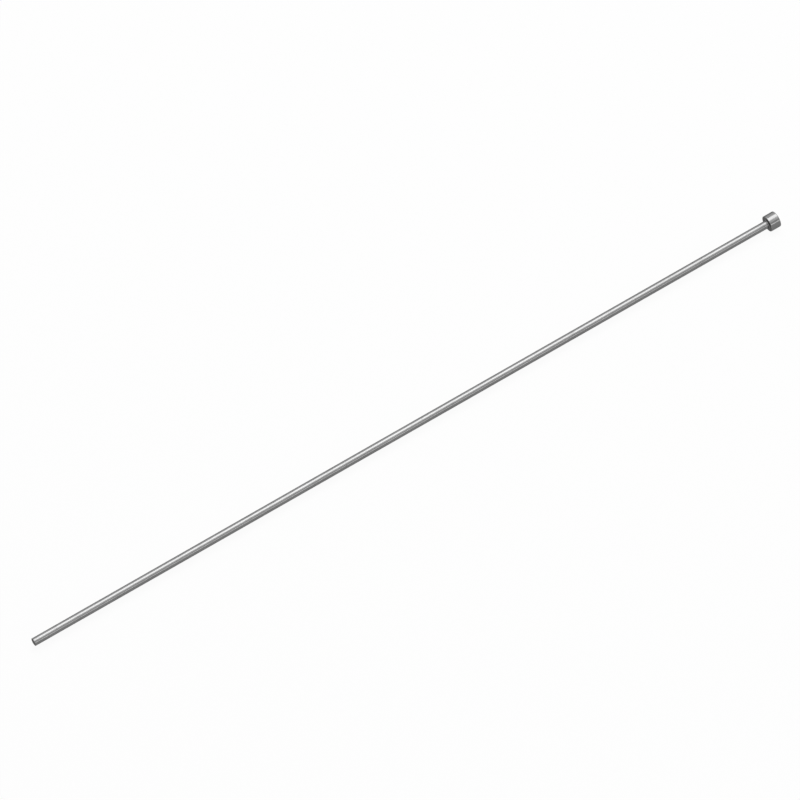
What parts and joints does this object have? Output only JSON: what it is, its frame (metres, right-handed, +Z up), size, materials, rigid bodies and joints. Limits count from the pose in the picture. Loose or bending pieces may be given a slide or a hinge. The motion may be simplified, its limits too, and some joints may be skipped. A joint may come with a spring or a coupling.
{
  "type": "ejector pin",
  "caption": "Straight ejector pin: a long slender ground steel shank with a square tip and a flat round head that the ejector plates of a mould hold.",
  "frame": {"origin": "centre of the head's back face, where the ejector plate holds the pin and from which its length is measured", "axes": "+X along the pin's axis from the head to the tip, level; +Z up"},
  "size_m": [0.31, 0.006, 0.006],
  "materials": {
    "tool_steel": "bright ground shank, turned head, unplated"
  },
  "bodies": {
    "root": {"ejector_pin": "tool_steel"}
  },
  "joints": []
}
